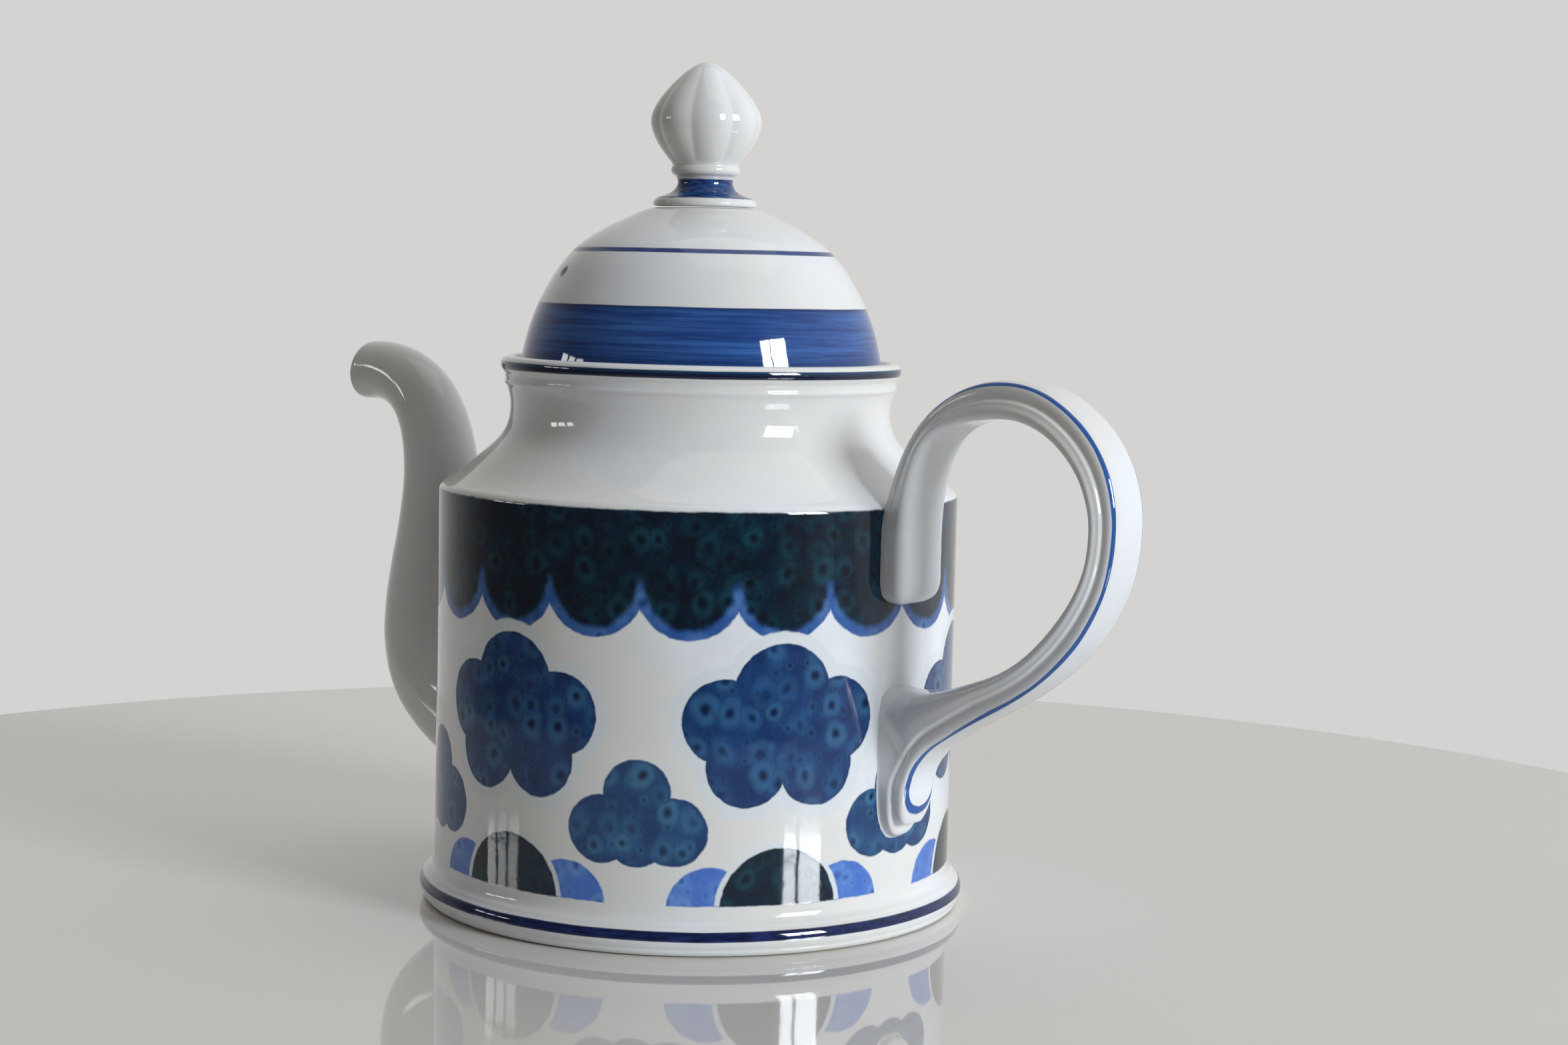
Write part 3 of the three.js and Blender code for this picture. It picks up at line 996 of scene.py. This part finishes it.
# =================================================================================================
# Handle
# =================================================================================================
# outer x, outer z, inner x, inner z, width scale, outer face at the wall, inner face at the wall
HANDLE = [
    (66, 84.1, 68.4, 84.0, 0.16, 1, 0.2),
    (66, 84.3, 70.4, 84.1, 0.42, 1, 0.2),
    (66, 84.9, 72.0, 84.7, 0.66, 1, 0.2),
    (66, 86.2, 73.4, 86.0, 0.87, 1, 0.2),
    (66, 88.6, 74.2, 88.4, 0.98, 1, 0.2),
    (66, 95.0, 74.3, 95.0, 1, 1, 0.2),
    (66.4, 102.4, 74.3, 102.0, 1, 1, 0.1),
    (67.6, 109.6, 74.6, 108.4, 1, 0.6, 0),
    (68.4, 114.6, 75.2, 113.2, 1, 0.1, 0),
    (70.0, 119.0, 76.3, 117.2, 1, 0, 0),
    (72.5, 124.1, 77.8, 121.2, 1, 0, 0),
    (76.0, 129.1, 80.2, 125.0, 1, 0, 0),
    (81.0, 133.8, 84.0, 128.0, 1, 0, 0),
    (87.2, 137.6, 89.0, 130.0, 1, 0, 0),
    (94.0, 139.9, 94.8, 131.1, 1, 0, 0),
    (100.5, 140.6, 100.4, 131.6, 1, 0, 0),
    (107.0, 140.1, 106.0, 131.2, 1, 0, 0),
    (113.2, 138.3, 111.2, 129.6, 1, 0, 0),
    (119.3, 134.9, 116.0, 126.9, 1, 0, 0),
    (124.6, 130.5, 120.2, 123.2, 1, 0, 0),
    (128.9, 125.0, 123.6, 118.8, 1, 0, 0),
    (131.9, 118.7, 125.8, 113.9, 1, 0, 0),
    (133.4, 112.0, 126.9, 109.3, 1, 0, 0),
    (133.6, 106.0, 127.0, 104.8, 1, 0, 0),
    (133.0, 99.8, 126.4, 99.9, 1, 0, 0),
    (131.3, 93.0, 124.8, 94.9, 1, 0, 0),
    (128.5, 86.7, 122.0, 89.6, 1, 0, 0),
    (124.6, 80.4, 118.0, 84.1, 1, 0, 0),
    (119.6, 74.6, 113.5, 79.1, 1, 0, 0),
    (113.7, 69.3, 108.4, 74.6, 1, 0, 0),
    (107.1, 64.6, 102.8, 71.1, 1, 0, 0),
    (100.0, 60.4, 97.0, 68.6, 1, 0, 0),
    (93.0, 56.5, 91.0, 66.4, 1, 0, 0),
    (86.8, 52.8, 85.0, 64.4, 1, 0, 0),
    (81.6, 49.3, 78.8, 62.9, 1, 0, 0),
    (78.1, 45.6, 72.8, 62.4, 1, 0, 0.3),
    (76.5, 42.9, 66, 62.4, 1, 0, 1),
    (75.9, 41.2, 66, 54.0, 1, 0, 1),
    (75.5, 39.8, 66, 46.0, 1, 0, 1),
    (75.2, 38.4, 66, 39.2, 1, 0, 1),
]
LEAF_Z = 38.4  # below this the lower end closes round, mouldings and all
LEAF_DROP = [(0, 0), (1.5, 1.5), (3.0, 3.0), (4.2, 4.2), (5.2, 5.3), (5.8, 6.5), (6.3, 8.9)]
LEAF_DROP += [(6.6, 10.2), (6.9, 11.4), (7.15, 12.3), (7.3, 12.9), (7.45, 13.5), (7.6, 14.0)]
# half section: half width, depth (0 outer face .. 1 inner face), free in the air
SECTION_FREE = [
    (0.0, -0.035),
    (2.2, -0.03),
    (4.2, -0.012),
    (5.3, 0.015),
    (5.95, 0.045),
    (6.45, 0.10),
    (6.82, 0.17),
    (7.02, 0.25),
    (7.08, 0.33),
    (7.05, 0.39),
    (7.06, 0.43),
    (7.22, 0.47),
    (7.6, 0.505),
    (7.95, 0.545),
    (8.1, 0.59),
    (8.3, 0.64),
    (8.6, 0.70),
    (8.75, 0.76),
    (8.7, 0.83),
    (8.35, 0.91),
    (7.2, 0.985),
    (3.6, 1.015),
    (0.0, 1.02),
]
SECTION_WALL = [  # where the outer face lies against the wall
    (0.0, 0.0),
    (3.0, 0.0),
    (6.0, 0.0),
    (8.0, 0.01),
    (8.3, 0.05),
    (8.4, 0.11),
    (8.45, 0.17),
    (8.5, 0.23),
    (8.55, 0.28),
    (8.6, 0.33),
    (8.62, 0.38),
    (8.65, 0.43),
    (8.67, 0.48),
    (8.7, 0.53),
    (8.72, 0.58),
    (8.74, 0.64),
    (8.75, 0.70),
    (8.7, 0.77),
    (8.5, 0.85),
    (8.0, 0.925),
    (6.9, 0.98),
    (3.6, 1.01),
    (0.0, 1.01),
]
SECTION_LEAF = [  # where the inner face lies against the wall
    (0.0, -0.03),
    (2.0, -0.026),
    (3.8, -0.01),
    (5.1, 0.015),
    (5.8, 0.05),
    (6.3, 0.10),
    (6.55, 0.17),
    (6.6, 0.24),
    (6.5, 0.30),
    (6.35, 0.345),
    (6.32, 0.385),
    (6.48, 0.425),
    (6.85, 0.46),
    (7.1, 0.50),
    (7.2, 0.54),
    (7.25, 0.60),
    (7.3, 0.66),
    (7.36, 0.72),
    (7.44, 0.79),
    (7.52, 0.86),
    (7.55, 0.93),
    (4.0, 1.0),
    (0.0, 1.0),
]


def leaf_slice(half, depth):
    """The half section cut level this far below the leaf's centre, as if each line of it closed in a rounded end."""
    w, e = half.T
    drop_w, drop_z = np.array(LEAF_DROP).T
    end = np.interp(w, drop_w, drop_z)
    peak = int(np.argmax(w))
    below = np.nonzero(end[: peak + 1] < depth)[0]
    j = int(below.max()) if len(below) else -1
    share = np.clip(depth / np.maximum(end, 1e-6), 0, 1)
    power = np.interp(w, [0, 5.2, 6.3, 7.5], [2, 2, 2.3, 2.6])
    new_w = w * (1 - share**power) ** (1 / power)
    new_e, ref = e.copy(), w.copy()
    if j >= 0:
        at, at_w = e[peak], w[peak]
        if j < peak:
            f = (depth - end[j]) / (end[j + 1] - end[j])
            at, at_w = e[j] + f * (e[j + 1] - e[j]), w[j] + f * (w[j + 1] - w[j])
        new_w[: j + 1], new_e[: j + 1], ref[: j + 1] = 0, at, at_w
    return new_w, new_e, ref


def build_handle():
    st = smooth_curve(HANDLE, 6)
    secs = [smooth_curve(np.array(s), 3) for s in (SECTION_FREE, SECTION_WALL, SECTION_LEAF)]
    rings, attr = [], []
    # (outer x, outer z, inner x, inner z, half widths, depths, widths on the section)
    cuts = []
    for x0, z0, x1, z1, k, o, n in st:
        o, n = np.clip(o, 0, 1), np.clip(n, 0, 1)
        half = secs[0] * (1 - o) * (1 - n) + secs[1] * o * (1 - n) + secs[2] * n * (1 - o) + secs[1] * o * n
        w, e = half.T
        # the mouldings keep their size where the strap gets deep
        tight = min(1.0, 9.2 / math.hypot(x1 - x0, z1 - z0))
        e = np.where(e < 0.6, e * tight, 0.6 * tight + (e - 0.6) * (1 - 0.6 * tight) / 0.4)
        cuts.append((x0, z0, x1, z1, w * k, e, w * k))
    for depth in np.linspace(0.4, 13.6, 52):
        w, e, ref = leaf_slice(secs[2], depth)
        share = depth / 13.6
        z0 = LEAF_Z - depth
        cuts.append((75.2 - 1.3 * share**1.5, z0, 66.0, z0 + 0.8 * (1 - share), w, e, ref))
    ox = np.array([c[0] for c in cuts])
    oz = np.array([c[1] for c in cuts])
    length = np.concatenate([[0], np.cumsum(np.hypot(np.diff(ox), np.diff(oz)))])
    from_tip = length[-1] - length
    for j, (x0, z0, x1, z1, hw, he, href) in enumerate(cuts):
        w = np.concatenate([hw, -hw[-2:0:-1]])
        e = np.concatenate([he, he[-2:0:-1]])
        ref = np.concatenate([href, href[-2:0:-1]])
        rings.append(np.stack([x0 + (x1 - x0) * e, w, z0 + (z1 - z0) * e], 1))
        attr.append(np.stack([np.full(len(w), from_tip[j]), ref, e], 1))
    rings = np.array(rings)
    attr = np.array(attr)
    verts, faces = skin(rings)
    flat = np.vstack([attr.reshape(-1, 3), attr[0].mean(0), attr[-1].mean(0)])
    ob = make_object("handle_strap", verts, faces, None)
    for i, name in enumerate(("strap_s", "strap_w", "strap_e")):
        a = ob.data.attributes.new(name, "FLOAT", "POINT")
        a.data.foreach_set("value", flat[:, i].astype(np.float32))
    weld(ob)
    face_out(ob)
    # the upper corners of the lower root are rounded off where it meets the wall
    co, _ = vertex_arrays(ob)
    reach = np.hypot(co[:, 0], co[:, 1])
    drop = smoothstep(3.0, 8.8, np.abs(co[:, 1])) ** 1.3 * smoothstep(46, 62.5, co[:, 2]) * smoothstep(80, 70, reach)
    drop = drop * (co[:, 2] < 72)
    co[:, 2] -= 4.2 * drop
    set_vertices(ob, co)
    luting_fillet(
        ob,
        WALL_R,
        0.4,
        keep=lambda co: smoothstep(76.0, 72.0, co[:, 2]) * smoothstep(24.0, 26.0, co[:, 2]),
    )
    # nothing shows inside the pot: what lies deep in the wall comes forward
    co, _ = vertex_arrays(ob)
    r = np.hypot(co[:, 0], co[:, 1])
    deep = (r < 66.4) & (co[:, 2] < 108)
    scale = np.where(deep, 66.4 / r, 1.0)
    co[:, 0] *= scale
    co[:, 1] *= scale
    set_vertices(ob, co)
    ob.data.materials.append(handle_glaze())
    return ob


# =================================================================================================
# Lid and knob
# =================================================================================================
LID = [
    (0, 181.2),
    (8, 181.2),
    (12.6, 181.15),
    (14.2, 180.95),
    (15.6, 180.5),
    (17.7, 179.6),
    (21.3, 177.95),
    (25.0, 176.1),
    (28.2, 174.25),
    (31.1, 172.3),
    (33.1, 170.6),
    (34.9, 168.75),
    (36.4, 167.0),
    (37.7, 165.25),
    (38.9, 163.4),
    (39.95, 161.6),
    (42.0, 157.8),
    (43.75, 153.7),
    (45.2, 149.6),
    (46.3, 145.4),
    (46.85, 143),
    (47.2, 141),
    (47.3, 139.8),
    (47.2, 139.1),
    (46.8, 138.6),
    (46.2, 138.5),
    (44.4, 138.5),
    (43.5, 138.4),
    (43.2, 138.0),
    (43.1, 136),
    (42.95, 130),
    (42.9, 128.6),
    (42.6, 127.9),
    (42.0, 127.6),
    (40.6, 127.6),
    (40.0, 127.9),
    (39.75, 128.6),
    (39.8, 134),
    (39.95, 141),
    (40.3, 146),
    (39.8, 151),
    (38.3, 156.5),
    (35.6, 161.8),
    (31.8, 166.6),
    (26.6, 170.8),
    (19, 174.4),
    (9, 176.6),
    (0, 177.2),
]


def build_lid():
    prof = smooth_curve(LID, 4)
    prof[0], prof[-1] = LID[0], LID[-1]
    prof[:, 0] = np.maximum(prof[:, 0], 0)
    v, f = lathe(prof, 192)
    ob = make_object("lid_dome", v, f, None)
    face_out(ob)
    # steam vent with a softened mouth
    edge = [(0, -7), (1.6, -7), (1.6, 0.2), (1.7, 1.0), (2.0, 1.5), (2.7, 1.85), (4.2, 2.1), (4.2, 9), (0, 9)]
    cv, cf = lathe(smooth_curve(edge, 4, corners=(1, 6, 7)), 32)
    tilt = math.pi / 2 - 0.62  # angle of the wall's normal from vertical
    az = math.radians(-116.5)
    rot = Matrix.Rotation(az, 3, "Z") @ Matrix.Rotation(tilt, 3, "Y")
    at = np.array([37.4 * math.cos(az), 37.4 * math.sin(az), 163.3])
    cv = cv @ np.array(rot).T + at
    c = make_object("cutter_vent", cv, cf, None)
    face_out(c)
    cut(ob, [c], sharp=50)
    ob.data.materials.append(lid_glaze())
    return ob


KNOB = [
    (0, 181.5, 0),
    (9, 181.5, 0),
    (12.6, 181.5, 0),
    (13.3, 181.75, 0),
    (13.5, 182.3, 0),
    (13.25, 183.0, 0),
    (12.4, 183.8, 0),
    (11.0, 184.3, 0),
    (9.6, 184.85, 0),
    (8.4, 185.6, 0),
    (7.6, 186.5, 0),
    (7.2, 187.6, 0),
    (7.3, 188.6, 0),
    (7.8, 189.4, 0),
    (8.5, 189.9, 0),
    (8.9, 190.5, 0),
    (8.98, 191.1, 0),
    (8.8, 191.7, 0),
    (8.55, 192.1, 0),
    (8.75, 192.6, 0.015),
    (9.35, 193.4, 0.045),
    (10.4, 194.7, 0.07),
    (12.1, 197.0, 0.082),
    (13.6, 199.8, 0.082),
    (14.4, 202.4, 0.078),
    (14.45, 204.0, 0.076),
    (13.9, 206.2, 0.074),
    (12.3, 209.1, 0.072),
    (10.0, 212.0, 0.068),
    (7.2, 214.9, 0.055),
    (4.7, 217.0, 0.035),
    (2.7, 218.2, 0.015),
    (1.2, 218.8, 0.0),
    (0, 219.0, 0),
]


def build_knob():
    prof = smooth_curve(KNOB, 4)
    prof[0], prof[-1] = KNOB[0], KNOB[-1]
    prof[:, 0] = np.maximum(prof[:, 0], 0)
    seg = 192
    v, f = lathe(prof[:, :2], seg)
    # ribs: rounded lobes parted by narrow valleys
    rr = np.hypot(v[:, 0], v[:, 1])
    az = np.arctan2(v[:, 1], v[:, 0])
    depth = np.interp(v[:, 2], prof[:, 1], prof[:, 2])
    lobe = np.sqrt(np.sin(4 * (az - math.radians(25.5))) ** 2 + 0.02) / math.sqrt(1.02)
    k = 1 - 0.72 * depth * (1 - lobe**0.75)
    v[:, 0] *= k
    v[:, 1] *= k
    ob = make_object("knob_bud", v, f, knob_glaze())
    face_out(ob)
    return ob


# =================================================================================================
# Assembly
# =================================================================================================
for ob, node, body, slot in (
    (build_body(), "body", "pot", "body_glaze"),
    (build_spout(), "spout", "pot", "spout_glaze"),
    (build_handle(), "handle", "pot", "handle_glaze"),
    (build_lid(), "lid", "lid", "lid_glaze"),
    (build_knob(), "knob", "lid", "knob_glaze"),
):
    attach(ob, body)
    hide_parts(node)

# =================================================================================================
# Floor, light and world
# =================================================================================================


def make_floor():
    mesh = bpy.data.meshes.new("floor")
    r, n = 0.36, 128
    verts = [(r * math.cos(2 * math.pi * i / n), r * math.sin(2 * math.pi * i / n), -0.0001) for i in range(n)]
    mesh.from_pydata(verts, [], [tuple(range(n))])
    ob = bpy.data.objects.new("floor", mesh)
    scene.collection.objects.link(ob)
    m = bpy.data.materials.new("floor_pale")
    m.use_nodes = True
    b = m.node_tree.nodes["Principled BSDF"] if "Principled BSDF" in m.node_tree.nodes else None
    b.inputs["Base Color"].default_value = lin((216, 214, 210))
    b.inputs["Roughness"].default_value = 0.035
    b.inputs["IOR"].default_value = 1.75
    mesh.materials.append(m)


def softbox(name, azimuth, elevation, distance, width, height, power, colour):
    """An area light that faces the pot's middle. Azimuth is in degrees from +X towards +Y."""
    data = bpy.data.lights.new(name, "AREA")
    data.shape, data.size, data.size_y = "RECTANGLE", width, height
    data.energy, data.color = power, colour
    ob = bpy.data.objects.new(name, data)
    a, e = math.radians(azimuth), math.radians(elevation)
    target = Vector((0, 0, 0.10))
    d = Vector((math.cos(a) * math.cos(e), math.sin(a) * math.cos(e), math.sin(e)))
    ob.location = target + d * distance
    ob.rotation_mode = "QUATERNION"
    ob.rotation_quaternion = d.to_track_quat("Z", "Y")
    ob.visible_camera = False
    scene.collection.objects.link(ob)
    return ob


def make_world():
    w = bpy.data.worlds.new("studio")
    scene.world = w
    w.use_nodes = True
    nt = w.node_tree
    nt.nodes.clear()
    out = nt.nodes.new("ShaderNodeOutputWorld")
    bg = nt.nodes.new("ShaderNodeBackground")
    tc = nt.nodes.new("ShaderNodeTexCoord")
    dot = nt.nodes.new("ShaderNodeVectorMath")
    dot.operation = "DOT_PRODUCT"
    # towards the bright wall: away from the camera and to its right
    a = math.radians(96)
    dot.inputs[1].default_value = (math.cos(a), math.sin(a), 0.0)
    nt.links.new(tc.outputs["Generated"], dot.inputs[0])
    mr = nt.nodes.new("ShaderNodeMapRange")
    mr.interpolation_type = "SMOOTHSTEP"
    mr.inputs["From Min"].default_value = -0.55
    mr.inputs["From Max"].default_value = 0.75
    nt.links.new(dot.outputs["Value"], mr.inputs["Value"])
    mix = nt.nodes.new("ShaderNodeMix")
    mix.data_type = "RGBA"
    mix.inputs[6].default_value = (0.092, 0.082, 0.069, 1)
    mix.inputs[7].default_value = (0.69, 0.68, 0.665, 1)
    nt.links.new(mr.outputs["Result"], mix.inputs[0])
    # the backdrop itself is one even pale tone
    path = nt.nodes.new("ShaderNodeLightPath")
    back = nt.nodes.new("ShaderNodeMix")
    back.data_type = "RGBA"
    back.inputs[7].default_value = (0.66, 0.65, 0.635, 1)
    nt.links.new(path.outputs["Is Camera Ray"], back.inputs[0])
    nt.links.new(mix.outputs[2], back.inputs[6])
    nt.links.new(back.outputs[2], bg.inputs["Color"])
    bg.inputs["Strength"].default_value = 1.0
    nt.links.new(bg.outputs[0], out.inputs["Surface"])


def window(name, azimuth, low, high, distance, panes, gap, width, radiance, colour, glint=0.0):
    """A row of upright panes, each an area light; low and high are elevations in degrees as seen from the pot.

    glint adds this share again to what the glaze mirrors, and nothing to what lights the clay."""
    e = math.radians((low + high) / 2)
    height = 2 * distance * math.tan(math.radians((high - low) / 2))
    total = sum(panes)
    at = -(width + gap * (len(panes) - 1)) / 2
    for i, share in enumerate(panes):
        w = width * share / total
        off = math.degrees(math.atan2(at + w / 2, distance * math.cos(e)))
        place = (azimuth + off, math.degrees(e), distance, w, height)
        softbox(f"{name}_{i}", *place, radiance * w * height, colour)
        if glint:
            # a little behind the pane, because a ray stops at only one of two lights in one place
            behind = (azimuth + off, math.degrees(e), distance * 1.01, w * 1.01, height * 1.01)
            glow = softbox(f"{name}_glint_{i}", *behind, glint * radiance * w * height * 1.01**2, colour)
            glow.visible_diffuse = False
        at += w + gap


make_floor()
make_world()
window("window_right", 0.0, 9, 27, 2.6, (0.36, 0.64), 0.05, 0.70, 86.0, (0.91, 0.96, 1.0), glint=0.8)
window("window_left", -139, 9.5, 14.5, 3.2, (1, 1, 1), 0.09, 0.86, 26.0, (1.0, 0.99, 0.97))
softbox("ceiling", 60, 78, 2.4, 1.8, 1.8, 7.0, (1.0, 0.99, 0.97))

scene.view_settings.view_transform = "Standard"
scene.view_settings.look = "None"
scene.view_settings.exposure = 0.0
scene.view_settings.gamma = 1.0
